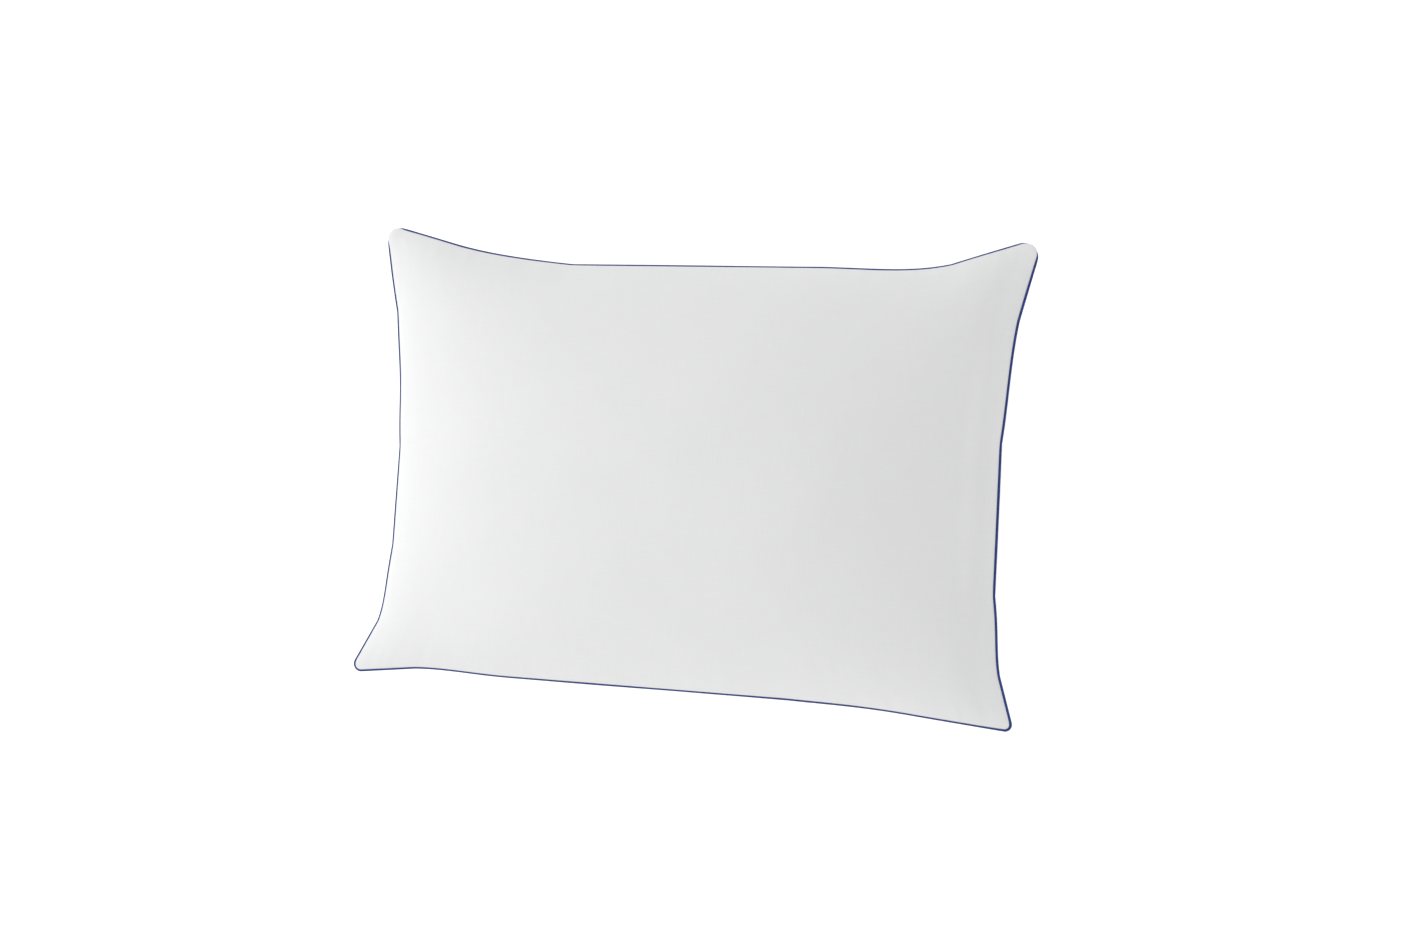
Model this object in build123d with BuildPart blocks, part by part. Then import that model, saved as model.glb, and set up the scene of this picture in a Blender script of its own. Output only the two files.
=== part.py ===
"""Queen-size bed pillow with a corded edge, lying face up as it lies on a bed.

Two cotton panels are sewn together all round with a blue piping between them, turned right side out,
stuffed with polyester fibre through a gap in the foot side, and closed there with a row of stitches.
Frame: +X along the length, +Y towards the head side, +Z up through the thickness. The origin is on the
bed, under the middle of the pillow. All sizes are in millimetres.
"""

import math
import os

from build123d import *

# Stuffed size: seam to seam over the corner tips, the seam above the bed, the crown above the seam.
LENGTH = 742
WIDTH = 500
SEAM_HEIGHT = 74
CROWN_RISE = 91
CORNER_RADIUS = 12

# Each side between two corner tips: how far the stuffing pulls its middle in, and how far from its
# first and from its last tip the pull is complete, going round anticlockwise from the foot left tip.
FOOT_SIDE = (10, 75, 125)
RIGHT_SIDE = (26, 80, 115)
HEAD_SIDE = (31, 120, 150)
LEFT_SIDE = (34, 140, 70)
FLARE_ARC_SHARE = 0.42

# The stuffed halves rise in levels. Each level is the seam outline at a smaller scale, with its
# corners opened out. The lower half ends in the flat patch that it rests on.
UPPER_LEVELS = (1.0, 0.97, 0.92, 0.84, 0.72, 0.58, 0.44, 0.30, 0.16)
LOWER_LEVELS = (1.0, 0.97, 0.92, 0.84, 0.72, 0.62, 0.55, 0.50)
PROFILE_FULLNESS = 2.4
PROFILE_SHOULDER = 0.85
CROWN_FLARE_SHARE = 0.42
CROWN_TIP_SHARE = 0.22

# Cloth, seam allowance, piping and thread. The seam thread's inset is counted from where the
# ticking starts to rise.
TICKING = 0.8
BIAS_TAPE = 0.4
FILLER_RADIUS = 0.75
FILLER_CLEARANCE = 0.05
ALLOWANCE = 10
THREAD_RADIUS = 0.3
SEAM_THREAD_INSET = 0.9
OVERLOCK_THICKNESS = 0.4
OVERLOCK_BITE = 4
CLEARANCE = 0.3

# Closing stitches under the piping of the foot side, from the piping over to the lower panel.
CLOSING_LENGTH = 180
STITCH_PITCH = 4
STITCH_SLANT = 1.5
STITCH_INSET = 1.1

# Care label: a folded tape that is sewn into the left side and hangs down below the piping. Its
# place is the distance of its middle from the foot left corner, along the width.
LABEL_WIDTH = 40
LABEL_DROP = 46
LABEL_TAPE = 0.3
LABEL_PLACE = 155

PIPING_RADIUS = FILLER_RADIUS + FILLER_CLEARANCE + BIAS_TAPE
PIPING_OUTSET = PIPING_RADIUS + CLEARANCE
FLANGE_HALF = BIAS_TAPE
STACK_HALF = FLANGE_HALF + TICKING
FILL_START = STACK_HALF + OVERLOCK_THICKNESS + CLEARANCE
LABEL_THICKNESS = 2 * LABEL_TAPE
UP = 1
DOWN = -1


def side_points(start, end, pull, first, last, scale):
    """The first tip of a side, then the two points where its flares meet its pulled-in middle."""
    along = end - start
    crown_flare = CROWN_FLARE_SHARE * along.length
    flare_start = (first + (crown_flare - first) * (1 - scale)) * scale
    flare_end = (last + (crown_flare - last) * (1 - scale)) * scale
    inwards = along.normalized().rotate(Axis.Z, 90) * pull * scale**2
    start, end = start * scale, end * scale
    return [
        start,
        start + along.normalized() * flare_start + inwards,
        end - along.normalized() * flare_end + inwards,
    ]


def outline_points(scale):
    """Corner points of the outline at a scale: four tips, and two flare points on each side."""
    tips = [
        Vector(-LENGTH / 2, -WIDTH / 2),
        Vector(LENGTH / 2, -WIDTH / 2),
        Vector(LENGTH / 2, WIDTH / 2),
        Vector(-LENGTH / 2, WIDTH / 2),
    ]
    points = []
    for side, values in enumerate((FOOT_SIDE, RIGHT_SIDE, HEAD_SIDE, LEFT_SIDE)):
        points += side_points(tips[side], tips[(side + 1) % 4], *values, scale)
    return points


def outline_radii(points, scale):
    """Rounding of each corner point: a small arc at the tips, the longest that fits at the flares."""
    radii = []
    for index, point in enumerate(points):
        before = point - points[index - 1]
        after = points[(index + 1) % len(points)] - point
        half_turn = math.radians(before.get_angle(after) / 2)
        longest = FLARE_ARC_SHARE * min(before.length, after.length) / math.tan(half_turn)
        is_tip = index % 3 == 0
        tip_growth = (CROWN_TIP_SHARE * WIDTH - CORNER_RADIUS) * (1 - scale)
        tip_radius = (CORNER_RADIUS + tip_growth) * scale
        radii.append(tip_radius if is_tip else longest)
    return radii


def outline_sketch(height, scale=1.0, inset=0.0):
    """The filled outline of the pillow at a height, made smaller by a scale or by an even inset."""
    points = outline_points(scale)
    with BuildSketch(Plane.XY.offset(height)) as outline:
        with BuildLine():
            FilletPolyline(*points, radius=outline_radii(points, scale), close=True)
        make_face()
        if inset:
            offset(amount=-inset, kind=Kind.ARC)
    return outline.sketch


def ring_sketch(height, outer_inset, inner_inset):
    """The band between two insets of the seam line, at a height."""
    with BuildSketch(Plane.XY.offset(height)) as ring:
        add(outline_sketch(0, inset=outer_inset))
        add(outline_sketch(0, inset=inner_inset), mode=Mode.SUBTRACT)
    return ring.sketch


def profile_height(level, rise, flat_scale):
    """Height of a level above the middle of the seam: a full curve that flattens to the crown."""
    share = (level - flat_scale) / (1 - flat_scale)
    return FLANGE_HALF + (rise - FLANGE_HALF) * (1 - share**PROFILE_FULLNESS) ** PROFILE_SHOULDER


def profile_slope(level, rise, flat_scale):
    """Steepness of the profile at a level, as height for each millimetre inwards."""
    share = (level - flat_scale) / (1 - flat_scale)
    reach = (1 - flat_scale) * WIDTH / 2
    full_slope = PROFILE_FULLNESS * PROFILE_SHOULDER * (rise - FLANGE_HALF) / reach
    return full_slope * share ** (PROFILE_FULLNESS - 1)


def edge_slope(levels, rise, flat_scale, half_size):
    """Steepness of a half beside the seam, where its middle lies half the pillow's size further in."""
    edge_rise = profile_height(levels[1], rise, flat_scale) - FLANGE_HALF
    return edge_rise / (1 - levels[1]) / half_size


def stuffed_half(way, levels, rise, flat_scale=0.0, depth=0.0, start=0.0):
    """One stuffed half, up or down from the seam, with its surface moved inwards by a depth.

    It starts flat at a distance from the middle of the seam, and every level is moved square to
    the profile of the half."""
    sections = []
    for level in levels:
        slope = profile_slope(level, rise, flat_scale)
        normal = math.hypot(slope, 1)
        moved_scale = level - depth * slope / normal * 2 / WIDTH
        height = profile_height(level, rise, flat_scale)
        moved_height = SEAM_HEIGHT + way * (height - depth / normal)
        sections.append(outline_sketch(moved_height, moved_scale))
    start_plane = Plane(origin=(0, 0, SEAM_HEIGHT + way * start), z_dir=(0, 0, way))
    with BuildPart() as half:
        loft(sections=sections)
        if depth:
            split(bisect_by=start_plane, keep=Keep.TOP)
    return half.part


def panel(way, half_shape):
    """One ticking panel: a domed skin whose seam allowance is turned in flat along the piping."""
    with BuildPart() as skin:
        add(stuffed_half(way, *half_shape))
        add(stuffed_half(way, *half_shape, depth=TICKING, start=STACK_HALF), mode=Mode.SUBTRACT)
        with BuildSketch(Plane.XY.offset(SEAM_HEIGHT + way * FLANGE_HALF)):
            add(outline_sketch(0, inset=ALLOWANCE))
        extrude(amount=way * TICKING, mode=Mode.SUBTRACT)
    return skin.part


def seam_path(inset, height):
    """Closed line that follows the seam at an inset and a height."""
    return outline_sketch(height, inset=inset).face().outer_wire()


def round_ring(inset, height, radius):
    """Round section swept all the way round the pillow at an inset and a height."""
    path = seam_path(inset, height)
    with BuildPart() as ring:
        with BuildSketch(Plane(origin=path @ 0, z_dir=path % 0)):
            Circle(radius)
        sweep(path=path)
    return ring.part


os.makedirs("parts", exist_ok=True)

UPPER_HALF = (UPPER_LEVELS, CROWN_RISE, 0)
LOWER_HALF = (LOWER_LEVELS, SEAM_HEIGHT, LOWER_LEVELS[-1])
label_x = -LENGTH / 2 + LEFT_SIDE[0]
label_y = LABEL_PLACE - WIDTH / 2
label_top = SEAM_HEIGHT - FLANGE_HALF

# Upper ticking panel.
with BuildPart() as top_panel:
    add(panel(UP, UPPER_HALF))
top_panel.part.label = "top_panel"
export_step(top_panel.part, "parts/top_panel.step")

# Lower ticking panel: pressed flat by the bed, and let in where the label passes through the seam.
with BuildPart() as bottom_panel:
    add(panel(DOWN, LOWER_HALF))
    split(bisect_by=Plane.XY, keep=Keep.TOP)
    with BuildSketch(Plane.XY.offset(label_top)):
        with Locations((label_x, label_y)):
            Rectangle(2 * ALLOWANCE, LABEL_WIDTH)
    extrude(amount=-LABEL_THICKNESS, mode=Mode.SUBTRACT)
bottom_panel.part.label = "bottom_panel"
export_step(bottom_panel.part, "parts/bottom_panel.step")

# Piping cover: a bias strip folded round the filler cord, with its two edges caught in the seam.
with BuildPart() as piping_cover:
    add(ring_sketch(SEAM_HEIGHT - FLANGE_HALF, -PIPING_OUTSET, ALLOWANCE))
    extrude(amount=2 * FLANGE_HALF)
    add(round_ring(-PIPING_OUTSET, SEAM_HEIGHT, PIPING_RADIUS))
    cord_channel = round_ring(-PIPING_OUTSET, SEAM_HEIGHT, FILLER_RADIUS + FILLER_CLEARANCE)
    add(cord_channel, mode=Mode.SUBTRACT)
piping_cover.part.label = "piping_cover"
export_step(piping_cover.part, "parts/piping_cover.step")

# Piping cord: the round filler that stiffens the piping.
with BuildPart() as piping_cord:
    add(round_ring(-PIPING_OUTSET, SEAM_HEIGHT, FILLER_RADIUS))
piping_cord.part.label = "piping_cord"
export_step(piping_cord.part, "parts/piping_cord.step")

# Needle thread of the seam, on top of the stacked allowances. It lies in from the seam as far as the
# rising ticking leaves room for it at the two shallower ends of the pillow.
end_slope = edge_slope(*UPPER_HALF, LENGTH / 2)
thread_room = TICKING * (1 + math.hypot(end_slope, 1)) + 2 * THREAD_RADIUS + CLEARANCE
thread_inset = thread_room / end_slope + THREAD_RADIUS + SEAM_THREAD_INSET
with BuildPart() as needle_thread:
    add(round_ring(thread_inset, SEAM_HEIGHT + STACK_HALF + THREAD_RADIUS, THREAD_RADIUS))
needle_thread.part.label = "needle_thread"
export_step(needle_thread.part, "parts/needle_thread.step")

# Bobbin thread of the seam, under the stacked allowances.
with BuildPart() as bobbin_thread:
    add(round_ring(thread_inset, SEAM_HEIGHT - STACK_HALF - THREAD_RADIUS, THREAD_RADIUS))
bobbin_thread.part.label = "bobbin_thread"
export_step(bobbin_thread.part, "parts/bobbin_thread.step")

# Overlock stitching, wrapped round the raw edges of the allowances.
overlock_half = STACK_HALF + OVERLOCK_THICKNESS
overlock_start = ALLOWANCE - OVERLOCK_BITE
with BuildPart() as overlock_stitching:
    add(
        ring_sketch(
            SEAM_HEIGHT - overlock_half,
            overlock_start,
            ALLOWANCE + OVERLOCK_THICKNESS,
        )
    )
    extrude(amount=2 * overlock_half)
    add(ring_sketch(SEAM_HEIGHT - STACK_HALF, overlock_start, ALLOWANCE))
    extrude(amount=2 * STACK_HALF, mode=Mode.SUBTRACT)
overlock_stitching.part.label = "overlock_stitching"
export_step(overlock_stitching.part, "parts/overlock_stitching.step")

# Closing stitches: short slanting threads that draw the stuffing gap shut from underneath.
closing_y = -WIDTH / 2 + FOOT_SIDE[0]
closing_slope = edge_slope(*LOWER_HALF, WIDTH / 2)
thread_space = THREAD_RADIUS + CLEARANCE
stitch_depth = FLANGE_HALF + STITCH_INSET * closing_slope
stitch_depth += thread_space * math.hypot(closing_slope, 1)
stitch_start = Vector(
    -STITCH_SLANT / 2,
    closing_y - PIPING_OUTSET / 2,
    SEAM_HEIGHT - PIPING_RADIUS - THREAD_RADIUS,
)
stitch_end = Vector(STITCH_SLANT / 2, closing_y + STITCH_INSET, SEAM_HEIGHT - stitch_depth)
with BuildPart() as stitch:
    with BuildSketch(Plane(origin=stitch_start, z_dir=stitch_end - stitch_start)):
        Circle(THREAD_RADIUS)
    extrude(amount=(stitch_end - stitch_start).length)
with BuildPart() as closing_stitches:
    with GridLocations(STITCH_PITCH, 0, int(CLOSING_LENGTH / STITCH_PITCH), 1):
        add(stitch.part)
closing_stitches.part.label = "closing_stitches"
export_step(closing_stitches.part, "parts/closing_stitches.step")

# Filling: one body of fibre, which gives way round the overlocked allowances.
with BuildPart() as fibre_fill:
    add(stuffed_half(UP, *UPPER_HALF, depth=TICKING + CLEARANCE, start=FILL_START))
    add(stuffed_half(DOWN, *LOWER_HALF, depth=TICKING + CLEARANCE, start=FILL_START))
    waist_inset = ALLOWANCE + OVERLOCK_THICKNESS + CLEARANCE
    add(outline_sketch(SEAM_HEIGHT - FILL_START, inset=waist_inset))
    extrude(amount=2 * FILL_START)
fibre_fill.part.label = "fibre_fill"
export_step(fibre_fill.part, "parts/fibre_fill.step")

# Care label: its tail lies flat in the seam, and its folded tape hangs down.
with BuildPart() as care_label:
    with BuildSketch(Plane.XY.offset(label_top)):
        with Locations((label_x + ALLOWANCE / 2, label_y)):
            Rectangle(ALLOWANCE, LABEL_WIDTH)
    extrude(amount=-LABEL_THICKNESS)
    with BuildSketch(Plane.XY.offset(label_top)):
        with Locations((label_x, label_y)):
            Rectangle(LABEL_THICKNESS, LABEL_WIDTH)
    extrude(amount=-LABEL_DROP)
care_label.part.label = "care_label"
export_step(care_label.part, "parts/care_label.step")
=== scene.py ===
import math

import bmesh
import bpy
import numpy as np
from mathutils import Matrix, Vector, noise


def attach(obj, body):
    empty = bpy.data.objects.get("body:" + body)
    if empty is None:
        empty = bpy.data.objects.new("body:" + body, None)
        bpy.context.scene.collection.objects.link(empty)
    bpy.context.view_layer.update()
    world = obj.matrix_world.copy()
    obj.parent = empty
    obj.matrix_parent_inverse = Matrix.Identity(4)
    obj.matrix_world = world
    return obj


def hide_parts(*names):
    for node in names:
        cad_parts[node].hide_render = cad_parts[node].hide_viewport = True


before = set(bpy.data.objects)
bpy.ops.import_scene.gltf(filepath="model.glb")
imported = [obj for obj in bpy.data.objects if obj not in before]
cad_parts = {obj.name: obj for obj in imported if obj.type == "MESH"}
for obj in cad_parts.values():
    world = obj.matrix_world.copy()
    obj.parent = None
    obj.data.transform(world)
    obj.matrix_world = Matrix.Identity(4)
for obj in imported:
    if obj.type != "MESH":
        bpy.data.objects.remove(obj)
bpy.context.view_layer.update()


# ---------------------------------------------------------------------------------------------
# Seam line.
# The two ticking panels and the piping meet in one seam. Stuffing pulls the four sides in between
# the corner tips, and the tips hang a little, because hardly any fibre gets into them.
# ---------------------------------------------------------------------------------------------
SEAM_HEIGHT = 0.074
FLARE_ARC_SHARE = 0.42
TIPS = ((-0.3741, -0.2487), (0.3733, -0.2546), (0.3721, 0.2543), (-0.3803, 0.2604))
TIP_RADII = (0.0073, 0.0053, 0.0140, 0.0140)
SIDE_PULLS = ((0.016, 0.136, 0.167), (0.032, 0.094, 0.151), (0.045, 0.160, 0.165), (0.0445, 0.178, 0.098))
RIPPLES = (
    (-0.0040, -0.0004, 0.0031, 0.0018, -0.0001),
    (-0.0027, -0.0038, 0.0020, 0.0021, 0.0011),
    (-0.0017, 0.0031, 0.0040, 0.0004, 0.0),
    (0.0023, 0.0024, 0.0027, -0.0013, 0.0022),
)
FIRST_RIPPLE = 3
RIPPLE_FADE = 0.12
TIP_DROOPS = (0.003, 0.003, 0.006, 0.006)
DROOP_REACH = 0.055
HEAD_TIP_REACHES = ((0.019, TIPS[2]), (0.023, TIPS[3]))


def arc_points(before, corner, after, radius, count=17):
    """Points along the round that joins two straight runs at a corner."""
    arriving = (corner - before) / np.linalg.norm(corner - before)
    leaving = (after - corner) / np.linalg.norm(after - corner)
    turn = math.atan2(np.cross(arriving, leaving), np.dot(arriving, leaving))
    start = corner - arriving * radius * math.tan(abs(turn) / 2)
    to_centre = np.array([-arriving[1], arriving[0]]) * math.copysign(radius, turn)
    centre = start + to_centre
    angles = np.linspace(0, turn, count)
    spoke = start - centre
    across = spoke[0] * np.cos(angles) - spoke[1] * np.sin(angles)
    along = spoke[0] * np.sin(angles) + spoke[1] * np.cos(angles)
    return centre + np.column_stack([across, along])


def seam_side_lines():
    """The plan of each side of the seam, from the middle of one tip's round to that of the next."""
    tips = [np.array(tip) for tip in TIPS]
    corners = []
    for side, (pull, first, last) in enumerate(SIDE_PULLS):
        start, end = tips[side], tips[(side + 1) % 4]
        along = (end - start) / np.linalg.norm(end - start)
        inwards = np.array([-along[1], along[0]]) * pull
        corners += [start, start + along * first + inwards, end - along * last + inwards]
    rounds = []
    for index, corner in enumerate(corners):
        before, after = corners[index - 1], corners[(index + 1) % len(corners)]
        radius = TIP_RADII[index // 3]
        if index % 3:
            legs = (np.linalg.norm(corner - before), np.linalg.norm(after - corner))
            cosine = np.dot(corner - before, after - corner) / (legs[0] * legs[1])
            radius = FLARE_ARC_SHARE * min(legs) / math.tan(math.acos(cosine) / 2)
        rounds.append(arc_points(before, corner, after, radius))
    lines = []
    for side in range(4):
        first, second = rounds[3 * side + 1], rounds[3 * side + 2]
        next_tip = rounds[(3 * side + 3) % 12]
        line = np.vstack([rounds[3 * side][8:], first, second, next_tip[:9]])
        along = tips[(side + 1) % 4] - tips[side]
        share = (line - tips[side]) @ along / (along @ along)
        waves = enumerate(RIPPLES[side], start=FIRST_RIPPLE)
        ripple = sum(height * np.sin(number * math.pi * share) for number, height in waves)
        to_tip = np.clip(np.minimum(share, 1 - share) / RIPPLE_FADE, 0, 1)
        ripple = ripple * to_tip**2 * (3 - 2 * to_tip)
        inwards = np.array([-along[1], along[0]]) / np.linalg.norm(along)
        lines.append(line + ripple[:, None] * inwards)
    return lines


def points_along(line, shares):
    """Points of a line at shares of its length."""
    steps = np.linalg.norm(np.diff(line, axis=0), axis=1)
    walked = np.concatenate([[0], np.cumsum(steps)])
    places = shares * walked[-1]
    return np.column_stack([np.interp(places, walked, line[:, axis]) for axis in range(2)])


def seam_height(plan):
    """Height of the seam over each plan point: level along the sides, lower at the tips."""
    height = np.full(plan.shape[:-1], SEAM_HEIGHT)
    for (tip_x, tip_y), droop in zip(TIPS, TIP_DROOPS):
        away = np.hypot(plan[..., 0] - tip_x, plan[..., 1] - tip_y)
        height -= droop * np.exp(-((away / DROOP_REACH) ** 2))
    return height


def seam_ring(count):
    """The closed seam in equal steps: its points in space, plan tangents and outward plan normals."""
    lines = seam_side_lines()
    whole = np.vstack([line[:-1] for line in lines] + [lines[0][:1]])
    plan = points_along(whole, np.linspace(0, 1, count + 1))[:-1]
    tangent = np.roll(plan, -1, axis=0) - np.roll(plan, 1, axis=0)
    tangent /= np.linalg.norm(tangent, axis=1)[:, None]
    outwards = np.column_stack([tangent[:, 1], -tangent[:, 0]])
    points = np.column_stack([plan, seam_height(plan)])
    return points, tangent, outwards


def at_head_tips(plan):
    """1 at the two head tips, where the cloth bulges over the piping, and 0 along the sides."""
    nearness = np.zeros(len(plan))
    for reach, (tip_x, tip_y) in HEAD_TIP_REACHES:
        away = np.hypot(plan[:, 0] - tip_x, plan[:, 1] - tip_y)
        nearness = np.maximum(nearness, np.exp(-((away / reach) ** 4)))
    return nearness


# ---------------------------------------------------------------------------------------------
# Ticking panels.
# Two rectangles of dense white cotton, sewn face to face and turned, so that their allowances lie
# inside. Each is blown up by the stuffing as cloth, from its flat cut, with its seam line held.
# ---------------------------------------------------------------------------------------------
CUT_LENGTH = 0.762
CUT_WIDTH = 0.508
CUT_ALLOWANCE = 0.010
COLUMNS = 120
ROWS = 80
SEAM_GRADING = 0.4
CROWN_RISE = 0.090
TICKING = 0.0006
FLANGE_HALF = 0.0005
FOLD_HALF = 0.00125
FOLD_CLEAR = 0.0001
FOLD_COVERING = 0.0010
TIP_COVERING = 0.0036
TIP_LIFT = 0.0014
BORDER_DROP = 0.7
ALLOWANCE_STEPS = (0.0008, 0.004, 0.007, 0.010)
STUFFING_PRESSURE = 6.0
GATHER_PITCH = 0.011
GATHER_LENGTH = 0.09
GATHER_LIMIT = 0.07
GATHER_START = 0.004
GATHER_REACH = 0.020
GATHER_HEIGHT = 0.0011
LUMP_HEIGHT = 0.0016
EVEN_BORDER = 0.08
END_HOLLOW = 0.0035
HOLLOW_INSET = 0.022
HOLLOW_WIDTH = 0.013
SETTLING_FRAMES = 28


def graded_shares(cells):
    """Places of the grid lines across a panel, closer together towards the seam."""
    even = np.linspace(0, 1, cells + 1)
    return even - SEAM_GRADING * np.sin(math.tau * even) / math.tau


def start_panel(way):
    """Points of a panel before the cloth settles: seam plan inside, a soft dome up or down."""
    lines = seam_side_lines()
    along, across = graded_shares(COLUMNS), graded_shares(ROWS)
    foot = points_along(lines[0], along)
    right = points_along(lines[1], across)
    head = points_along(lines[2], along)[::-1]
    left = points_along(lines[3], across)[::-1]
    u = along[None, :, None]
    v = across[:, None, None]
    plan = (1 - v) * foot[None] + v * head[None] + (1 - u) * left[:, None] + u * right[:, None]
    plan = plan - (1 - u) * (1 - v) * foot[0] - u * (1 - v) * foot[-1]
    plan = plan - (1 - u) * v * head[0] - u * v * head[-1]
    bulge = (1 - np.abs(2 * u - 1) ** 2.6) * (1 - np.abs(2 * v - 1) ** 2.6)
    height = seam_height(plan) + way * (FLANGE_HALF + CROWN_RISE * bulge[..., 0] ** 0.8)
    return np.dstack([plan, height])


def grid_faces(columns, rows, way, first=0):
    """Quads of a grid of points, facing up or down."""
    faces = []
    for row in range(rows):
        for column in range(columns):
            a = first + row * (columns + 1) + column
            quad = (a, a + 1, a + columns + 2, a + columns + 1)
            faces.append(quad if way > 0 else quad[::-1])
    return faces


def flat_cut():
    """The panel's points as it was cut, laid out flat."""
    x = (graded_shares(COLUMNS) - 0.5) * CUT_LENGTH
    y = (graded_shares(ROWS) - 0.5) * CUT_WIDTH
    return np.dstack(np.meshgrid(x, y))


def settle_cloth(points, way):
    """The panel blown up by its stuffing, as cloth that remembers its flat cut."""
    mesh = bpy.data.meshes.new("settling")
    mesh.from_pydata(points.reshape(-1, 3).tolist(), [], grid_faces(COLUMNS, ROWS, way))
    cloth_piece = bpy.data.objects.new("settling", mesh)
    bpy.context.collection.objects.link(cloth_piece)
    cloth_piece.shape_key_add(name="start")
    cut_key = cloth_piece.shape_key_add(name="cut")
    flat = np.dstack([flat_cut(), np.zeros((ROWS + 1, COLUMNS + 1))])
    cut_key.data.foreach_set("co", flat.ravel())
    cut_key.value = 0
    held = cloth_piece.vertex_groups.new(name="seam")
    numbers = np.arange((ROWS + 1) * (COLUMNS + 1)).reshape(ROWS + 1, COLUMNS + 1)
    border = np.concatenate([numbers[0], numbers[-1], numbers[:, 0], numbers[:, -1]])
    held.add([int(number) for number in set(border.tolist())], 1.0, "REPLACE")
    cloth = cloth_piece.modifiers.new("cloth", "CLOTH")
    settings = cloth.settings
    settings.quality = 7
    settings.mass = 0.3
    settings.tension_stiffness = 40
    settings.compression_stiffness = 40
    settings.shear_stiffness = 15
    settings.bending_stiffness = 6
    settings.tension_damping = 20
    settings.compression_damping = 20
    settings.shear_damping = 15
    settings.bending_damping = 2
    settings.air_damping = 8
    settings.vertex_group_mass = "seam"
    settings.rest_shape_key = cut_key
    settings.use_pressure = True
    settings.uniform_pressure_force = STUFFING_PRESSURE
    settings.effector_weights.gravity = 0
    cloth.collision_settings.use_collision = False
    cloth.collision_settings.use_self_collision = False
    cloth.point_cache.frame_end = SETTLING_FRAMES
    for number in range(1, SETTLING_FRAMES + 1):
        bpy.context.scene.frame_set(number)
    settled = cloth_piece.evaluated_get(bpy.context.evaluated_depsgraph_get())
    result = np.empty(points.size)
    settled.data.vertices.foreach_get("co", result)
    bpy.data.objects.remove(cloth_piece)
    bpy.context.scene.frame_set(1)
    return result.reshape(points.shape)


def pressed_by_bed(height, softness=0.008):
    """Heights with everything that would sink into the bed pressed flat on it."""
    eased = (height + softness) ** 2 / (4 * softness)
    return np.where(height > softness, height, np.where(height < -softness, 0.0, eased))


def grid_normals(points, way):
    """Outward directions of a grid of points."""
    normal = np.cross(np.gradient(points, axis=1), np.gradient(points, axis=0)) * way
    return normal / np.linalg.norm(normal, axis=2)[:, :, None]


def gathered(points, way):
    """The panel with gathers running in from its seam, a hollow along the right end, and faint lumps."""
    cut = flat_cut()
    raised = np.zeros(cut.shape[:2])
    for row in range(ROWS + 1):
        for column in range(COLUMNS + 1):
            x, y = cut[row, column]
            to_side = CUT_LENGTH / 2 - abs(x)
            to_long = CUT_WIDTH / 2 - abs(y)
            for into, walk, seed in ((to_side, y, x > 0), (to_long, x, y > 0)):
                if into < GATHER_LIMIT:
                    spot = Vector((walk / GATHER_PITCH, into / GATHER_LENGTH, 7.3 * seed + 20 * way))
                    fade = (1 - math.exp(-into / GATHER_START)) * math.exp(-into / GATHER_REACH)
                    raised[row, column] += GATHER_HEIGHT * fade * noise.fractal(spot, 1.0, 2.0, 2)
            hollow = math.exp(-(((CUT_LENGTH / 2 - x - HOLLOW_INSET) / HOLLOW_WIDTH) ** 2))
            raised[row, column] -= END_HOLLOW * hollow * min(1.0, to_long / EVEN_BORDER)
            lump = noise.noise(Vector((x * 9, y * 11, 3.1 + way)))
            inner = min(1.0, min(to_side, to_long) / EVEN_BORDER)
            raised[row, column] += LUMP_HEIGHT * lump * inner
    return points + grid_normals(points, way) * raised[:, :, None]


def border_walk(grid):
    """The border points of a grid, walked anticlockwise from its first point."""
    return np.concatenate([grid[0, :-1], grid[:-1, -1], grid[-1, :0:-1], grid[:0:-1, 0]])


def border_inwards(border):
    """Plan directions that point in from each point of a border."""
    tangent = np.roll(border, -1, axis=0)[:, :2] - np.roll(border, 1, axis=0)[:, :2]
    tangent /= np.linalg.norm(tangent, axis=1)[:, None]
    return np.column_stack([-tangent[:, 1], tangent[:, 0]])


def folded_over_piping(points, way):
    """The panel with its fold laid on the piping: further over it on the two long sides."""
    numbers = border_walk(np.arange((ROWS + 1) * (COLUMNS + 1)).reshape(ROWS + 1, COLUMNS + 1))
    folded = points.reshape(-1, 3).copy()
    border = folded[numbers]
    inwards = border_inwards(border)
    over = FOLD_CLEAR + (FOLD_COVERING - FOLD_CLEAR) * inwards[:, 1] ** 2
    over = over + (TIP_COVERING - over) * at_head_tips(border)
    folded[numbers, :2] -= inwards * over[:, None]
    lift = TIP_LIFT * at_head_tips(folded)
    folded[:, 2] += way * (FOLD_HALF - FLANGE_HALF + lift)
    folded[numbers, 2] -= way * BORDER_DROP * lift[numbers]
    return folded.reshape(points.shape)


seam_border = border_walk(start_panel(1))
panel_points = {}
for side, way in (("top", 1), ("bottom", -1)):
    shape = start_panel(way)
    shape = settle_cloth(shape, way)
    shape = folded_over_piping(gathered(shape, way), way)
    if way < 0:
        shape[..., 2] = pressed_by_bed(shape[..., 2])
    panel_points[side] = shape


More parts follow.
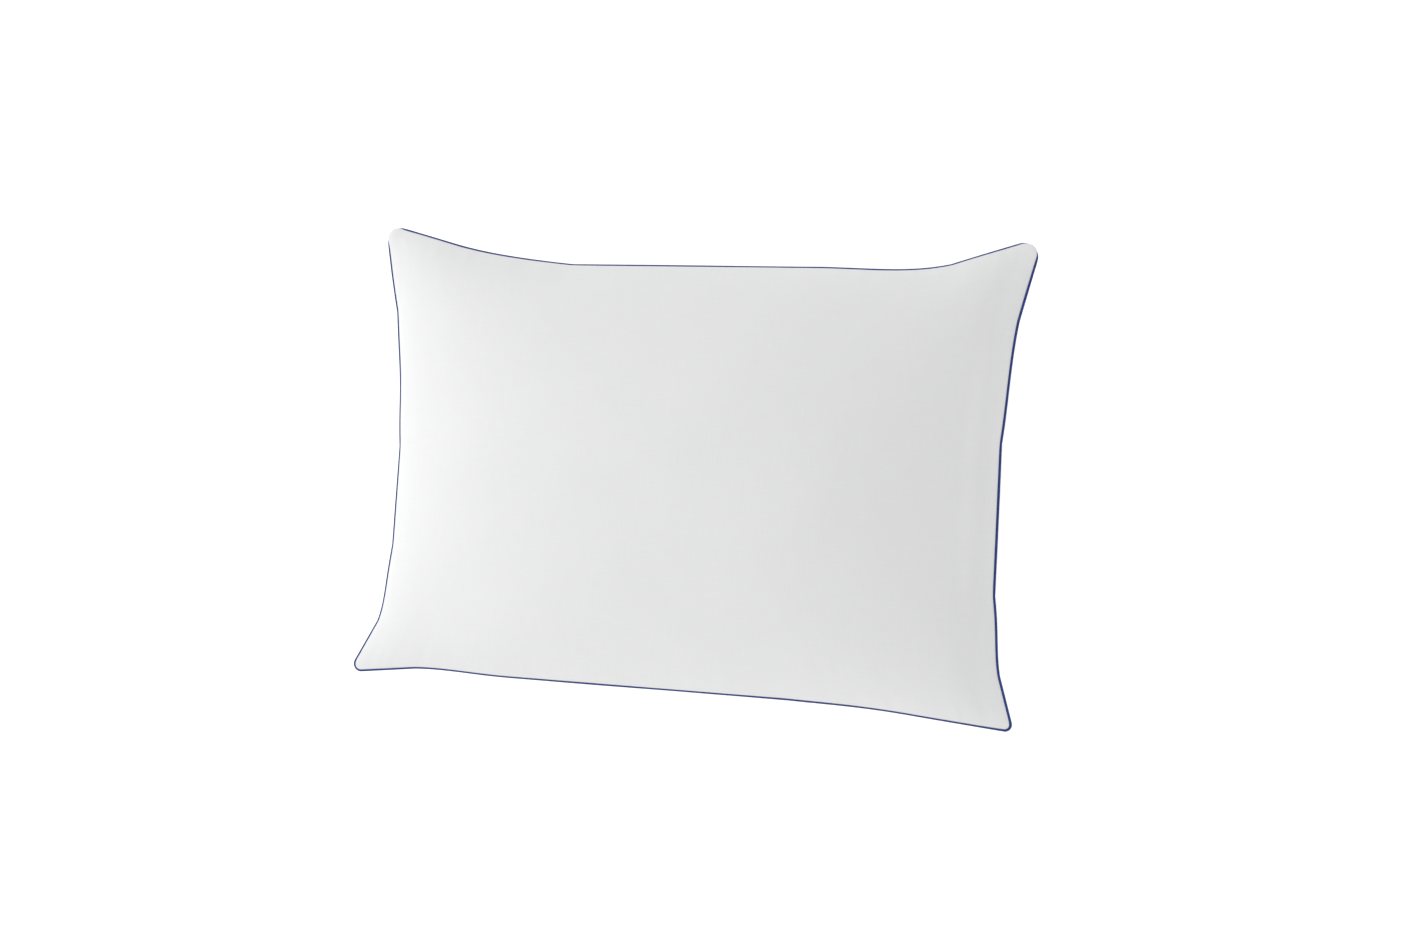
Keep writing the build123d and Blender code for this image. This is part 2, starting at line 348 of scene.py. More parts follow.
def make_panel(name, way, points):
    """A ticking panel as one sheet: its blown-up face, then its allowance turned in along the seam."""
    grid_size = (ROWS + 1) * (COLUMNS + 1)
    cut_border = border_walk(flat_cut())
    inwards = border_inwards(seam_border)
    seam_z = seam_height(seam_border[:, :2])
    all_points = [points.reshape(-1, 3)]
    all_cuts = [flat_cut().reshape(-1, 2)]
    for step in ALLOWANCE_STEPS:
        plan = seam_border[:, :2] + inwards * step
        all_points.append(np.column_stack([plan, seam_z + way * FLANGE_HALF]))
        all_cuts.append(cut_border * (1 + 2 * step / np.array([CUT_LENGTH, CUT_WIDTH])))
    faces = grid_faces(COLUMNS, ROWS, way)
    count = len(seam_border)
    numbers = np.arange(grid_size).reshape(ROWS + 1, COLUMNS + 1)
    previous = border_walk(numbers).tolist()
    for ring in range(len(ALLOWANCE_STEPS)):
        current = [grid_size + ring * count + index for index in range(count)]
        for index in range(count):
            after = (index + 1) % count
            quad = (previous[after], previous[index], current[index], current[after])
            faces.append(quad if way > 0 else quad[::-1])
        previous = current
    mesh = bpy.data.meshes.new(name)
    mesh.from_pydata(np.vstack(all_points).tolist(), [], faces)
    cuts = np.vstack(all_cuts)
    cut_map = mesh.uv_layers.new(name="cut")
    corners = np.empty(len(mesh.loops), dtype=np.int64)
    mesh.loops.foreach_get("vertex_index", corners)
    cut_map.data.foreach_set("uv", cuts[corners].ravel())
    piece = bpy.data.objects.new(name, mesh)
    bpy.context.collection.objects.link(piece)
    smooth_step = piece.modifiers.new("smooth", "SUBSURF")
    smooth_step.levels = 1
    smooth_step.render_levels = 1
    smooth_step.uv_smooth = "NONE"
    thickness = piece.modifiers.new("thickness", "SOLIDIFY")
    thickness.thickness = TICKING
    thickness.offset = -1
    finish_modifiers(piece)
    return piece


def finish_modifiers(piece):
    """Apply a piece's modifiers and shade it smooth."""
    bpy.ops.object.select_all(action="DESELECT")
    piece.select_set(True)
    bpy.context.view_layer.objects.active = piece
    for modifier in list(piece.modifiers):
        bpy.ops.object.modifier_apply(modifier=modifier.name)
    bpy.ops.object.shade_smooth()
    piece.select_set(False)


def cloth_nodes(material):
    """A cleared node tree with an output and a Principled shader."""
    material.use_nodes = True
    nodes = material.node_tree.nodes
    nodes.clear()
    output = nodes.new("ShaderNodeOutputMaterial")
    shader = nodes.new("ShaderNodeBsdfPrincipled")
    material.node_tree.links.new(shader.outputs["BSDF"], output.inputs["Surface"])
    return nodes, material.node_tree.links, shader


def yarn_waves(nodes, links, place, pitch, direction):
    """Bands of yarn at a pitch in metres, running across one direction of a flat map."""
    wave = nodes.new("ShaderNodeTexWave")
    wave.wave_type = "BANDS"
    wave.bands_direction = direction
    wave.wave_profile = "SIN"
    wave.inputs["Scale"].default_value = math.pi / (10 * pitch)
    wave.inputs["Distortion"].default_value = 0.6
    wave.inputs["Detail"].default_value = 1.0
    wave.inputs["Detail Scale"].default_value = 0.2
    links.new(place, wave.inputs["Vector"])
    return wave.outputs["Fac"]


def math_node(nodes, links, operation, first, second):
    """A Math node on two values, each a socket or a number."""
    node = nodes.new("ShaderNodeMath")
    node.operation = operation
    for socket, value in zip(node.inputs, (first, second)):
        if isinstance(value, (int, float)):
            socket.default_value = value
        else:
            links.new(value, socket)
    return node.outputs["Value"]


def noise_node(nodes, links, place, scale, detail, stretch=(1, 1, 1)):
    """Soft noise over a place, stretched by a mapping."""
    mapping = nodes.new("ShaderNodeMapping")
    mapping.inputs["Scale"].default_value = stretch
    links.new(place, mapping.inputs["Vector"])
    texture = nodes.new("ShaderNodeTexNoise")
    texture.inputs["Scale"].default_value = scale
    texture.inputs["Detail"].default_value = detail
    links.new(mapping.outputs["Vector"], texture.inputs["Vector"])
    return texture.outputs["Fac"]


def ramp_node(nodes, links, value, low, high):
    """Two colours over a value from 0 to 1."""
    ramp = nodes.new("ShaderNodeValToRGB")
    ramp.color_ramp.elements[0].color = (*low, 1)
    ramp.color_ramp.elements[1].color = (*high, 1)
    links.new(value, ramp.inputs["Fac"])
    return ramp.outputs["Color"]


def raise_relief(nodes, links, shader, height, strength, depth):
    """Relief of a cloth's surface, with its depth in metres."""
    bump = nodes.new("ShaderNodeBump")
    bump.inputs["Strength"].default_value = strength
    bump.inputs["Distance"].default_value = depth
    links.new(height, bump.inputs["Height"])
    links.new(bump.outputs["Normal"], shader.inputs["Normal"])


def ticking_cotton():
    """Dense plain-woven white cotton: fine yarn both ways, slubs, and a faint unevenness."""
    material = bpy.data.materials.new("white_ticking_cotton")
    nodes, links, shader = cloth_nodes(material)
    cut_map = nodes.new("ShaderNodeUVMap")
    cut_map.uv_map = "cut"
    place = cut_map.outputs["UV"]
    warp = yarn_waves(nodes, links, place, 0.00042, "X")
    weft = yarn_waves(nodes, links, place, 0.00046, "Y")
    weave = math_node(nodes, links, "MULTIPLY", warp, weft)
    warp_slubs = noise_node(nodes, links, place, 900, 2, (1, 0.04, 1))
    weft_slubs = noise_node(nodes, links, place, 900, 2, (0.04, 1, 1))
    slubs = math_node(nodes, links, "ADD", warp_slubs, weft_slubs)
    slubs = math_node(nodes, links, "MULTIPLY", slubs, 0.5)
    clouds = noise_node(nodes, links, place, 9, 3)
    tone = math_node(nodes, links, "MULTIPLY", slubs, 0.7)
    tone = math_node(nodes, links, "ADD", tone, math_node(nodes, links, "MULTIPLY", clouds, 0.3))
    colour = ramp_node(nodes, links, tone, (0.735, 0.738, 0.745), (0.845, 0.846, 0.850))
    links.new(colour, shader.inputs["Base Color"])
    height = math_node(nodes, links, "ADD", weave, math_node(nodes, links, "MULTIPLY", slubs, 0.8))
    raise_relief(nodes, links, shader, height, strength=0.35, depth=0.00008)
    roughness = math_node(nodes, links, "MULTIPLY", slubs, 0.12)
    roughness = math_node(nodes, links, "ADD", roughness, 0.78)
    links.new(roughness, shader.inputs["Roughness"])
    shader.inputs["Sheen Weight"].default_value = 0.12
    shader.inputs["Sheen Roughness"].default_value = 0.45
    shader.inputs["Specular IOR Level"].default_value = 0.25
    return material


ticking_material = ticking_cotton()
top_panel = make_panel("top_ticking", 1, panel_points["top"])
bottom_panel = make_panel("bottom_ticking", -1, panel_points["bottom"])
for panel, cad_node in ((top_panel, "top_panel"), (bottom_panel, "bottom_panel")):
    panel.data.materials.append(ticking_material)
    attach(panel, "root")
    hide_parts(cad_node)


# ---------------------------------------------------------------------------------------------
# Piping.
# A strip of royal blue cotton, cut on the bias and folded round a filler cord. Its two edges are
# caught between the allowances of the panels, so that only the round of it shows.
# ---------------------------------------------------------------------------------------------
PIPING_RADIUS = 0.0012
PIPING_OUTSET = 0.0003
TUCKED_OUTSET = -0.0008
BIAS_TAPE = 0.00035
FLANGE_WIDTH = 0.010
FLANGE_STEPS = 4
PIPING_DRIFT = 0.0001
DRIFT_WAVES = 11
PIPING_STEPS = 2000
ROUND_STEPS = 13


def sweep_profile(name, count, profile, closed):
    """A mesh along the seam: profile(index) gives outset and height of each point of its section."""
    points, _, outwards = seam_ring(count)
    rows = []
    for index in range(count):
        section = profile(index)
        plan = points[index, :2] + outwards[index] * section[:, :1]
        rows.append(np.column_stack([plan, points[index, 2] + section[:, 1]]))
    width = len(rows[0])
    step = np.linalg.norm(points[1] - points[0])
    last = width if closed else width - 1
    faces, map_points = [], []
    walked = np.linalg.norm(np.diff(rows[0], axis=0, append=rows[0][:1]), axis=1)
    across = np.concatenate([[0], np.cumsum(walked)])
    for index in range(count):
        after = (index + 1) % count
        for place in range(last):
            beside = (place + 1) % width
            faces.append(
                (
                    index * width + place,
                    index * width + beside,
                    after * width + beside,
                    after * width + place,
                )
            )
            low, high = index * step, (index + 1) * step
            map_points += [
                (low, across[place]),
                (low, across[place + 1]),
                (high, across[place + 1]),
                (high, across[place]),
            ]
    mesh = bpy.data.meshes.new(name)
    mesh.from_pydata(np.vstack(rows).tolist(), [], faces)
    strip_map = mesh.uv_layers.new(name="strip")
    strip_map.data.foreach_set("uv", np.array(map_points).ravel())
    piece = bpy.data.objects.new(name, mesh)
    bpy.context.collection.objects.link(piece)
    return piece


def piping_outsets(count):
    """How far out the piping lies from the seam line, at equal steps all round."""
    points = seam_ring(count)[0]
    drift = PIPING_DRIFT * np.sin(np.arange(count) / count * math.tau * DRIFT_WAVES)
    return PIPING_OUTSET + (TUCKED_OUTSET - PIPING_OUTSET) * at_head_tips(points) + drift


piping_places = piping_outsets(PIPING_STEPS)


def piping_profile(index):
    """Section of the bias strip: lower flange, round, upper flange, with small unevenness."""
    share = index / PIPING_STEPS
    uneven = noise.noise(Vector((math.cos(share * math.tau) * 9, math.sin(share * math.tau) * 9, 0)))
    pinch = 0.5 + 0.5 * math.cos(index * math.tau / 3)
    radius = PIPING_RADIUS * (1 + 0.06 * uneven)
    angles = np.radians(np.linspace(-160, 160, ROUND_STEPS))
    neck = 0.00012 * pinch * np.abs(angles) / math.pi
    round_out = piping_places[index] + (radius - neck) * np.cos(angles)
    round_up = (radius - neck) * np.sin(angles)
    flange = np.linspace(FLANGE_WIDTH, PIPING_RADIUS, FLANGE_STEPS)
    flange_up = np.full(FLANGE_STEPS, FLANGE_HALF - 0.0001)
    outset = np.concatenate([-flange, round_out, -flange[::-1]])
    height = np.concatenate([-flange_up, round_up, flange_up])
    return np.column_stack([outset, height])


def bias_cotton():
    """Royal blue cotton whose yarns run aslant along the strip, paler where it is rubbed."""
    material = bpy.data.materials.new("blue_bias_cotton")
    nodes, links, shader = cloth_nodes(material)
    strip_map = nodes.new("ShaderNodeUVMap")
    strip_map.uv_map = "strip"
    turned = nodes.new("ShaderNodeMapping")
    turned.inputs["Rotation"].default_value = (0, 0, math.radians(45))
    links.new(strip_map.outputs["UV"], turned.inputs["Vector"])
    place = turned.outputs["Vector"]
    warp = yarn_waves(nodes, links, place, 0.00036, "X")
    weft = yarn_waves(nodes, links, place, 0.00036, "Y")
    weave = math_node(nodes, links, "MULTIPLY", warp, weft)
    worn = noise_node(nodes, links, strip_map.outputs["UV"], 60, 3)
    tone = math_node(nodes, links, "MULTIPLY", weave, 0.5)
    tone = math_node(nodes, links, "ADD", tone, math_node(nodes, links, "MULTIPLY", worn, 0.5))
    colour = ramp_node(nodes, links, tone, (0.016, 0.034, 0.145), (0.036, 0.072, 0.300))
    links.new(colour, shader.inputs["Base Color"])
    raise_relief(nodes, links, shader, weave, strength=0.5, depth=0.0001)
    shader.inputs["Roughness"].default_value = 0.8
    shader.inputs["Sheen Weight"].default_value = 0.15
    shader.inputs["Specular IOR Level"].default_value = 0.25
    return material


piping = sweep_profile("blue_piping", PIPING_STEPS, piping_profile, closed=False)
tape_thickness = piping.modifiers.new("thickness", "SOLIDIFY")
tape_thickness.thickness = BIAS_TAPE
tape_thickness.offset = -1
finish_modifiers(piping)
piping.data.materials.append(bias_cotton())
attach(piping, "root")
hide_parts("piping_cover")


# ---------------------------------------------------------------------------------------------
# Filler cord.
# Three twisted strands of undyed cotton inside the piping, which keep it round. Its ends are butted.
# ---------------------------------------------------------------------------------------------
STRAND_RADIUS = 0.00036
STRAND_OFFSET = 0.00036
STRAND_SIDES = 6
STRAND_STEPS = 3000
TWISTS = 280

strand_places = piping_outsets(STRAND_STEPS)


def cord_profile(index, strand):
    """Section of one strand as it winds round the middle of the piping."""
    angle = math.tau * (TWISTS * index / STRAND_STEPS + strand / 3)
    around = np.linspace(0, math.tau, STRAND_SIDES, endpoint=False)
    outset = strand_places[index] + STRAND_OFFSET * math.cos(angle)
    outset = outset + STRAND_RADIUS * np.cos(around)
    height = STRAND_OFFSET * math.sin(angle) + STRAND_RADIUS * np.sin(around)
    return np.column_stack([outset, height])


def join_pieces(name, pieces):
    """Several pieces made one."""
    bpy.ops.object.select_all(action="DESELECT")
    for piece in pieces:
        piece.select_set(True)
    bpy.context.view_layer.objects.active = pieces[0]
    if len(pieces) > 1:
        bpy.ops.object.join()
    pieces[0].name = name
    bpy.ops.object.shade_smooth()
    pieces[0].select_set(False)
    return pieces[0]


def spun_yarn(name, low, high, twist_pitch):
    """Spun yarn seen close up: slanting fibres in two close tones."""
    material = bpy.data.materials.new(name)
    nodes, links, shader = cloth_nodes(material)
    strip_map = nodes.new("ShaderNodeUVMap")
    strip_map.uv_map = "strip"
    turned = nodes.new("ShaderNodeMapping")
    turned.inputs["Rotation"].default_value = (0, 0, math.radians(35))
    links.new(strip_map.outputs["UV"], turned.inputs["Vector"])
    fibres = yarn_waves(nodes, links, turned.outputs["Vector"], twist_pitch, "X")
    colour = ramp_node(nodes, links, fibres, low, high)
    links.new(colour, shader.inputs["Base Color"])
    raise_relief(nodes, links, shader, fibres, strength=0.6, depth=0.00005)
    shader.inputs["Roughness"].default_value = 0.7
    shader.inputs["Sheen Weight"].default_value = 0.2
    return material


strands = []
for strand in range(3):
    strands.append(
        sweep_profile(
            f"strand_{strand}",
            STRAND_STEPS,
            lambda index, strand=strand: cord_profile(index, strand),
            closed=True,
        )
    )
filler_cord = join_pieces("filler_cord", strands)
filler_cord.data.materials.append(
    spun_yarn("undyed_cotton_cord", (0.60, 0.56, 0.48), (0.80, 0.77, 0.69), 0.0003)
)
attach(filler_cord, "root")
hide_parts("piping_cord")


# ---------------------------------------------------------------------------------------------
# Seam threads.
# The lockstitch that joins the layers: a needle thread over the stacked allowances and a bobbin
# thread under them. Each dips into the cloth where the stitches lock.
# ---------------------------------------------------------------------------------------------
SEAM_THREAD_INSET = 0.0042
SEAM_THREAD_RADIUS = 0.00028
STITCHES = 800
STEPS_PER_STITCH = 5


def lockstitch_profile(index, way):
    """Section of a seam thread, lowest where the stitch goes through the cloth."""
    around = np.linspace(0, math.tau, 6, endpoint=False)
    bow = abs(math.sin(math.pi * index / STEPS_PER_STITCH))
    rise = FLANGE_HALF + TICKING + SEAM_THREAD_RADIUS * (0.4 + 0.9 * bow)
    outset = -SEAM_THREAD_INSET + SEAM_THREAD_RADIUS * np.cos(around)
    return np.column_stack([outset, way * rise + SEAM_THREAD_RADIUS * np.sin(around)])


thread_material = spun_yarn("white_sewing_thread", (0.70, 0.70, 0.69), (0.86, 0.86, 0.85), 0.00018)
for name, cad_node, way in (
    ("needle_seam_thread", "needle_thread", 1),
    ("bobbin_seam_thread", "bobbin_thread", -1),
):
    thread = sweep_profile(
        name,
        STITCHES * STEPS_PER_STITCH,
        lambda index, way=way: lockstitch_profile(index, way),
        closed=True,
    )
    join_pieces(name, [thread])
    thread.data.materials.append(thread_material)
    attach(thread, "root")
    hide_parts(cad_node)


# ---------------------------------------------------------------------------------------------
# Overlock.
# One thread wound over the raw edges of the allowances and the flange, which keeps them from
# fraying. It lies in the pocket that the filling leaves round the seam.
# ---------------------------------------------------------------------------------------------
OVERLOCK_LOOPS = 900
STEPS_PER_LOOP = 10
OVERLOCK_RADIUS = 0.00022
OVERLOCK_SIDES = 5
OVERLOCK_BITE = 0.004
OVERLOCK_SPARE = 0.0004


def make_overlock():
    """A fine tube wound round the raw edge, loop by loop."""
    count = OVERLOCK_LOOPS * STEPS_PER_LOOP
    points, tangent, outwards = seam_ring(count)
    angle = np.arange(count) * math.tau / STEPS_PER_LOOP
    edge_in = CUT_ALLOWANCE - OVERLOCK_BITE / 2 + (OVERLOCK_BITE / 2 + OVERLOCK_SPARE) * np.cos(angle)
    rise = (FLANGE_HALF + TICKING + OVERLOCK_RADIUS) * np.clip(1.5 * np.sin(angle), -1, 1)
    plan = points[:, :2] - outwards * edge_in[:, None]
    path = np.column_stack([plan, points[:, 2] + rise])
    ahead = np.roll(path, -1, axis=0) - np.roll(path, 1, axis=0)
    ahead /= np.linalg.norm(ahead, axis=1)[:, None]
    beside = np.column_stack([tangent, np.zeros(count)])
    beside -= ahead * np.sum(beside * ahead, axis=1)[:, None]
    beside /= np.linalg.norm(beside, axis=1)[:, None]
    above = np.cross(ahead, beside)
    rings = []
    for turn in np.linspace(0, math.tau, OVERLOCK_SIDES, endpoint=False):
        rings.append(path + OVERLOCK_RADIUS * (beside * math.cos(turn) + above * math.sin(turn)))
    rows = np.stack(rings, axis=1)
    faces, map_points = [], []
    for index in range(count):
        after = (index + 1) % count
        here, there = index * OVERLOCK_SIDES, after * OVERLOCK_SIDES
        for place in range(OVERLOCK_SIDES):
            next_place = (place + 1) % OVERLOCK_SIDES
            faces.append((here + place, here + next_place, there + next_place, there + place))
            low, high = index * 0.0012, index * 0.0012 + 0.0012
            near, far = place * 0.0003, place * 0.0003 + 0.0003
            map_points += [(low, near), (low, far), (high, far), (high, near)]
    mesh = bpy.data.meshes.new("overlock_thread")
    mesh.from_pydata(rows.reshape(-1, 3).tolist(), [], faces)
    strip_map = mesh.uv_layers.new(name="strip")
    strip_map.data.foreach_set("uv", np.array(map_points).ravel())
    piece = bpy.data.objects.new("overlock_thread", mesh)
    bpy.context.collection.objects.link(piece)
    return piece


overlock = join_pieces("overlock_thread", [make_overlock()])
overlock.data.materials.append(thread_material)
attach(overlock, "root")
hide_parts("overlock_stitching")


# ---------------------------------------------------------------------------------------------
# Closing stitches.
# After stuffing, the gap in the foot side is drawn shut with short slanting stitches from the base
# of the piping to the lower panel, where they can't be seen from above.
# ---------------------------------------------------------------------------------------------
CLOSING_LENGTH = 0.180
STITCH_PITCH = 0.004
STITCH_SLANT = 0.0015
STITCH_SIDES = 8
STITCH_STEPS = 7


def surface_under(x, down):
    """The lower panel's point a short way down from the foot seam at x."""
    grid = panel_points["bottom"]
    column = int(np.argmin(np.abs(grid[0, :, 0] - x)))
    first, second = grid[0, column], grid[1, column]
    share = down / np.linalg.norm(second - first)
    return np.array([x, *(first + (second - first) * share)[1:]])


def make_closing_stitches():
    """All the closing stitches: bowed threads with rounded ends."""
    bundle = bmesh.new()
    count = int(CLOSING_LENGTH / STITCH_PITCH)
    for number in range(count):
        x = (number - (count - 1) / 2) * STITCH_PITCH
        lower = surface_under(x, 0.0026)
        upper = np.array([x - STITCH_SLANT, lower[1] - 0.0022, SEAM_HEIGHT - PIPING_RADIUS * 0.9])
        outwards = np.array([0.0, -0.75, -0.66])
        rings = []
        for step in range(STITCH_STEPS):
            share = step / (STITCH_STEPS - 1)
            bow = math.sin(math.pi * share)
            centre = upper + (lower - upper) * share + outwards * (0.0001 + 0.0005 * bow)
            radius = SEAM_THREAD_RADIUS * (0.55 + 0.45 * min(1, bow * 2))
            ahead = (lower - upper) / np.linalg.norm(lower - upper)
            side = np.cross(ahead, outwards)
            side /= np.linalg.norm(side)
            above = np.cross(side, ahead)
            ring = []
            for turn in np.linspace(0, math.tau, STITCH_SIDES, endpoint=False):
                spot = centre + radius * (side * math.cos(turn) + above * math.sin(turn))
                ring.append(bundle.verts.new(spot.tolist()))
            rings.append(ring)
        for near, far in zip(rings, rings[1:]):
            for place in range(STITCH_SIDES):
                beside = (place + 1) % STITCH_SIDES
                bundle.faces.new((near[place], near[beside], far[beside], far[place]))
        bundle.faces.new(rings[0][::-1])
        bundle.faces.new(rings[-1])
    bmesh.ops.recalc_face_normals(bundle, faces=bundle.faces)
    mesh = bpy.data.meshes.new("closing_threads")
    bundle.to_mesh(mesh)
    bundle.free()
    mesh.uv_layers.new(name="strip")
    for loop in mesh.loops:
        spot = mesh.vertices[loop.vertex_index].co
        mesh.uv_layers["strip"].data[loop.index].uv = (spot.x + spot.y, spot.z)
    piece = bpy.data.objects.new("closing_threads", mesh)
    bpy.context.collection.objects.link(piece)
    return piece


closing_threads = join_pieces("closing_threads", [make_closing_stitches()])
closing_threads.data.materials.append(thread_material)
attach(closing_threads, "root")
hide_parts("closing_stitches")


# ---------------------------------------------------------------------------------------------
# Filling.
# One body of lofty polyester fibre that fills the panels and gives way round the seam stack.
# ---------------------------------------------------------------------------------------------
FILL_CLEARANCE = 0.0018
FILL_BORDER = 3
WAIST_INSET = 0.013
WAIST_HALF = 0.0024


def inside_grid(points, way):
    """The panel's points moved inwards, lumpy as fibre is, without its border."""
    normal = grid_normals(points, way)
    moved = points - normal * FILL_CLEARANCE
    rows, columns = points.shape[:2]
    for row in range(rows):
        for column in range(columns):
            lump = noise.fractal(Vector(points[row, column]) * 45, 1.0, 2.0, 3)
            moved[row, column] -= normal[row, column] * 0.0012 * (0.5 + 0.5 * lump)
    return moved[FILL_BORDER:-FILL_BORDER, FILL_BORDER:-FILL_BORDER]


def make_filling():
    """Upper and lower fibre faces, joined by a waist round the inner edge of the allowances."""
    upper = inside_grid(panel_points["top"], 1)
    lower = inside_grid(panel_points["bottom"], -1)
    rows, columns = upper.shape[0] - 1, upper.shape[1] - 1
    size = upper.shape[0] * upper.shape[1]
    border = border_walk(panel_points["top"][FILL_BORDER:-FILL_BORDER, FILL_BORDER:-FILL_BORDER])
    plan = border[:, :2] + border_inwards(border) * 0.004
    level = seam_height(plan)
    waists = [np.column_stack([plan, level + WAIST_HALF]), np.column_stack([plan, level - WAIST_HALF])]
    points = np.vstack([upper.reshape(-1, 3), lower.reshape(-1, 3), *waists])
    faces = grid_faces(columns, rows, 1) + grid_faces(columns, rows, -1, first=size)
    numbers = np.arange(size).reshape(rows + 1, columns + 1)
    count = len(border)
    rings = [
        border_walk(numbers).tolist(),
        list(range(2 * size, 2 * size + count)),
        list(range(2 * size + count, 2 * size + 2 * count)),
        border_walk(numbers + size).tolist(),
    ]
    for near, far in zip(rings, rings[1:]):
        for index in range(count):
            after = (index + 1) % count
            faces.append((near[index], far[index], far[after], near[after]))
    mesh = bpy.data.meshes.new("fibre_filling")
    mesh.from_pydata(points.tolist(), [], faces)
    piece = bpy.data.objects.new("fibre_filling", mesh)
    bpy.context.collection.objects.link(piece)
    return piece


def fibre_material():
    """White fibre: tangled fine strands in close greys, with a soft sheen."""
    material = bpy.data.materials.new("polyester_fibre")
    nodes, links, shader = cloth_nodes(material)
    coordinates = nodes.new("ShaderNodeTexCoord")
    place = coordinates.outputs["Object"]
    strands = noise_node(nodes, links, place, 350, 5, (1, 0.25, 1))
    clumps = noise_node(nodes, links, place, 28, 3)
    tone = math_node(nodes, links, "MULTIPLY", strands, 0.6)
    tone = math_node(nodes, links, "ADD", tone, math_node(nodes, links, "MULTIPLY", clumps, 0.4))
    colour = ramp_node(nodes, links, tone, (0.70, 0.70, 0.71), (0.93, 0.93, 0.94))
    links.new(colour, shader.inputs["Base Color"])
    raise_relief(nodes, links, shader, tone, strength=0.8, depth=0.0008)
    shader.inputs["Roughness"].default_value = 0.95
    shader.inputs["Sheen Weight"].default_value = 0.4
    return material


filling = join_pieces("fibre_filling", [make_filling()])
filling.data.materials.append(fibre_material())
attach(filling, "root")
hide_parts("fibre_fill")


# ---------------------------------------------------------------------------------------------
# Care label.
# A blank white satin tape, folded in two and sewn into the left side under the piping. It hangs
# down from the seam.
# ---------------------------------------------------------------------------------------------
LABEL_WIDTH = 0.040
LABEL_DROP = 0.046
LABEL_TAPE = 0.00025
LABEL_PLACE = -0.095
LABEL_GAP = 0.0009
LABEL_TAIL = 0.008
LABEL_STEPS = 12


def make_label():
    """The folded tape: tail, outer leaf, fold, inner leaf, tail, slightly curled across."""
    seam_x = float(np.max(seam_side_lines()[3][8:-8, 0]))
    top = SEAM_HEIGHT - FLANGE_HALF
    outer, inner = seam_x - LABEL_GAP / 2, seam_x + LABEL_GAP / 2
    section = [(seam_x + LABEL_TAIL, top), (outer, top - 0.0004)]
    for step in range(1, LABEL_STEPS + 1):
        share = step / LABEL_STEPS
        section.append((outer - 0.0015 * math.sin(share * math.pi * 0.9), top - LABEL_DROP * share))
    section.append((seam_x - 0.0004, top - LABEL_DROP - 0.0006))
    for step in range(LABEL_STEPS, 0, -1):
        share = step / LABEL_STEPS
        section.append((inner - 0.0013 * math.sin(share * math.pi * 0.9), top - LABEL_DROP * share))
    section += [(inner, top - 0.0006), (seam_x + LABEL_TAIL, top - 0.0004)]
    width = LABEL_STEPS + 1
    across = np.linspace(-0.5, 0.5, width)
    points, faces = [], []
    for x, z in section:
        drop = max(0.0, (top - z) / LABEL_DROP)
        for share in across:
            curl = 0.0022 * drop * (2 * share) ** 2 + 0.0008 * drop * math.sin(7 * share)
            points.append((x - curl, LABEL_PLACE + share * LABEL_WIDTH, z))
    for place in range(len(section) - 1):
        for step in range(LABEL_STEPS):
            a = place * width + step
            faces.append((a, a + width, a + width + 1, a + 1))
    mesh = bpy.data.meshes.new("blank_label")
    mesh.from_pydata(points, [], faces)
    tape_map = mesh.uv_layers.new(name="tape")
    for loop in mesh.loops:
        row, column = divmod(loop.vertex_index, width)
        tape_map.data[loop.index].uv = (column * LABEL_WIDTH / LABEL_STEPS, row * 0.004)
    piece = bpy.data.objects.new("blank_label", mesh)
    bpy.context.collection.objects.link(piece)
    thickness = piece.modifiers.new("thickness", "SOLIDIFY")
    thickness.thickness = LABEL_TAPE
    finish_modifiers(piece)
    return piece


def satin_tape():
    """Smooth satin tape: fine yarn across it and a soft gloss."""
    material = bpy.data.materials.new("white_satin_tape")
    nodes, links, shader = cloth_nodes(material)
    tape_map = nodes.new("ShaderNodeUVMap")
    tape_map.uv_map = "tape"
    yarns = yarn_waves(nodes, links, tape_map.outputs["UV"], 0.00025, "Y")
    clouds = noise_node(nodes, links, tape_map.outputs["UV"], 80, 2)
    tone = math_node(nodes, links, "MULTIPLY", yarns, 0.5)
    tone = math_node(nodes, links, "ADD", tone, math_node(nodes, links, "MULTIPLY", clouds, 0.5))
    colour = ramp_node(nodes, links, tone, (0.76, 0.76, 0.75), (0.87, 0.87, 0.86))
    links.new(colour, shader.inputs["Base Color"])
    raise_relief(nodes, links, shader, yarns, strength=0.3, depth=0.00004)
    shader.inputs["Roughness"].default_value = 0.42
    shader.inputs["Sheen Weight"].default_value = 0.2
    return material


label = make_label()
label.data.materials.append(satin_tape())
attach(label, "root")
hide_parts("care_label")


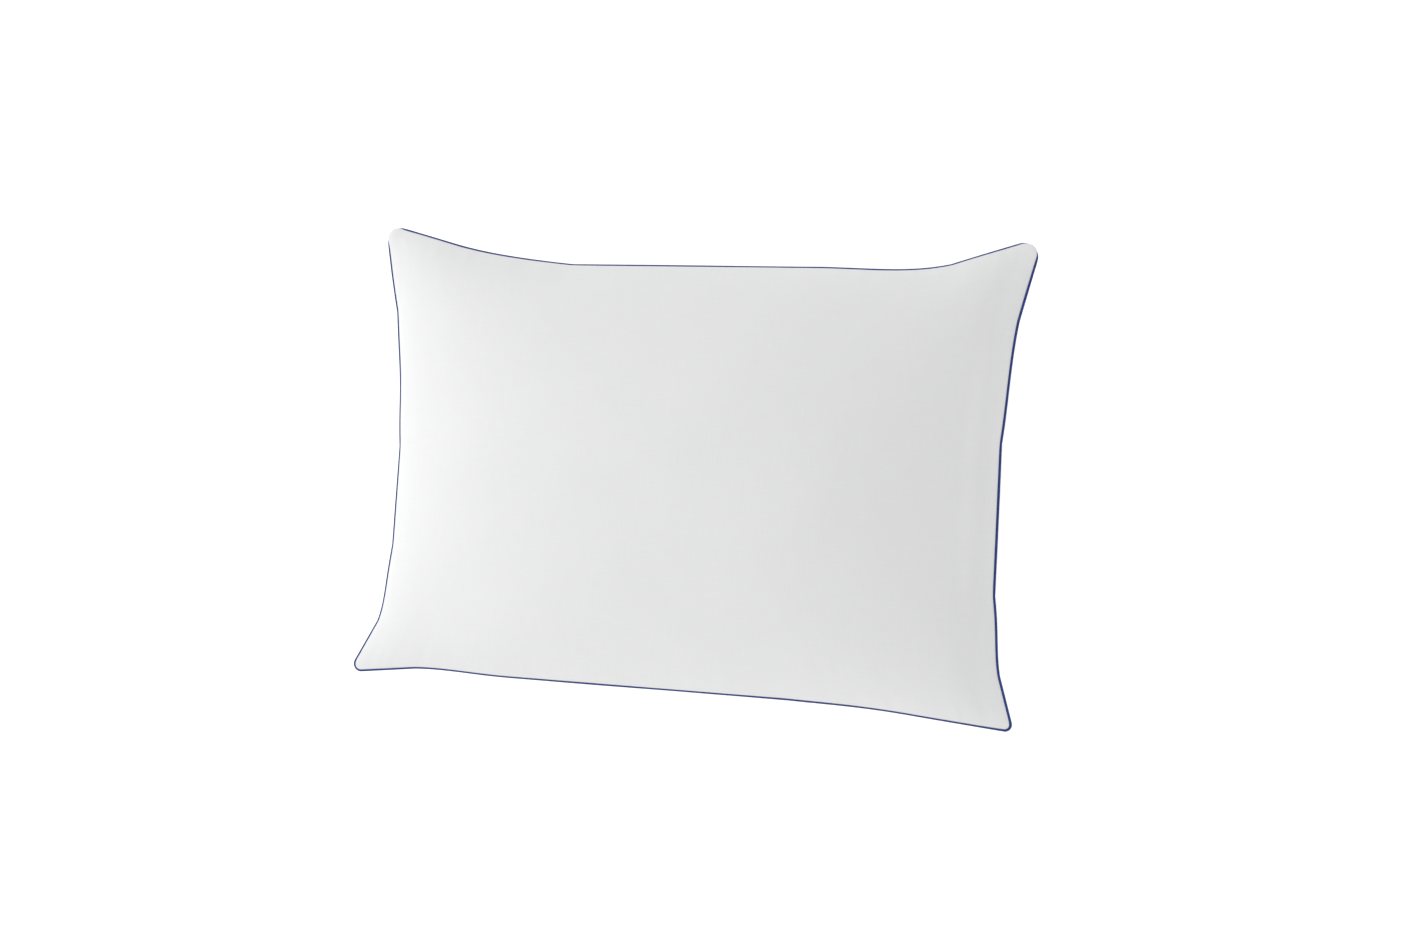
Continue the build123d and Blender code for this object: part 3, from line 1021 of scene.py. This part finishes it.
# ---------------------------------------------------------------------------------------------
# Floor, light and camera.
# A plain pale floor, one broad soft light from the left with weak fill, and a plain lens that
# looks down on the pillow from a little to its right.
# ---------------------------------------------------------------------------------------------
FLOOR_SIZE = 40
FLOOR_GAP = 0.0003

bpy.ops.object.select_all(action="DESELECT")
bpy.ops.mesh.primitive_plane_add(size=FLOOR_SIZE, location=(0, 0, -FLOOR_GAP))
floor = bpy.context.active_object
floor.name = "floor"
floor_material = bpy.data.materials.new("pale_floor")
floor_material.use_nodes = True
floor_tree = floor_material.node_tree
floor_shader = floor_tree.nodes["Principled BSDF"]
floor_shader.inputs["Base Color"].default_value = (0.94, 0.94, 0.94, 1)
floor_shader.inputs["Roughness"].default_value = 0.9
floor_shader.inputs["Specular IOR Level"].default_value = 0.1
floor_shader.inputs["Emission Color"].default_value = (1, 1, 1, 1)
floor_shader.inputs["Emission Strength"].default_value = 0.30
floor.data.materials.append(floor_material)


def soft_light(name, place, target, size, power):
    """A square soft light that faces a target."""
    lamp = bpy.data.lights.new(name, "AREA")
    lamp.shape = "SQUARE"
    lamp.size = size
    lamp.energy = power
    holder = bpy.data.objects.new(name, lamp)
    holder.location = place
    holder.rotation_euler = (Vector(target) - Vector(place)).to_track_quat("-Z", "Y").to_euler()
    bpy.context.collection.objects.link(holder)


soft_light("left_softbox", (-2.6, -0.2, 1.6), (0, 0, 0.1), 1.8, 31)

world = bpy.data.worlds.new("studio")
bpy.context.scene.world = world
world.use_nodes = True
world.node_tree.nodes["Background"].inputs["Color"].default_value = (1, 1, 1, 1)
world.node_tree.nodes["Background"].inputs["Strength"].default_value = 0.83
bpy.context.scene.view_settings.view_transform = "Standard"

camera_data = bpy.data.cameras.new("camera")
camera_data.lens = 56.5
camera_data.sensor_width = 36
camera = bpy.data.objects.new("camera", camera_data)
camera.location = (0.7457, -0.1798, 2.3192)
camera.rotation_euler = [math.radians(turn) for turn in (5.482, 17.518, 4.432)]
bpy.context.collection.objects.link(camera)
bpy.context.scene.camera = camera
